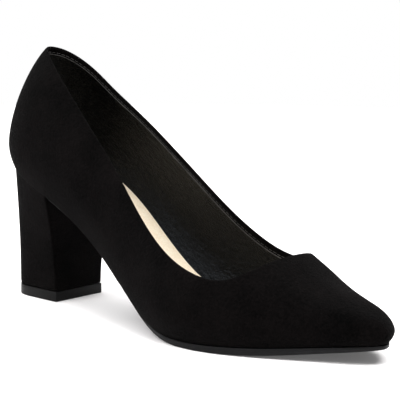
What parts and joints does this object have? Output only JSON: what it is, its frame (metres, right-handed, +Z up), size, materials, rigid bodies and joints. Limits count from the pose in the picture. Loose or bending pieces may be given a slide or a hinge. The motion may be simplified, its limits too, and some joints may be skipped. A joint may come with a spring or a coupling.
{
  "type": "block heel pump",
  "caption": "Women's pump in black suede with a pointed toe, a low-cut topline, a covered block heel and a thin sole; one right shoe.",
  "frame": {"origin": "middle of the bottom of the shoe's box, on the floor that it stands on", "axes": "+X from the back of the heel to the toe, +Y towards the inner side of the foot, +Z up"},
  "size_m": [0.252, 0.0852, 0.1353],
  "materials": {
    "suede": "matte napped suede",
    "outsole": "satin",
    "top_piece": "satin",
    "insole": "smooth black lining leather, soft sheen",
    "sock": "matte, fine pebble"
  },
  "bodies": {
    "root": {"upper": "suede", "heel": "suede", "outsole": "outsole", "top_piece": "top_piece", "insole": "insole", "sock": "sock"}
  },
  "joints": []
}
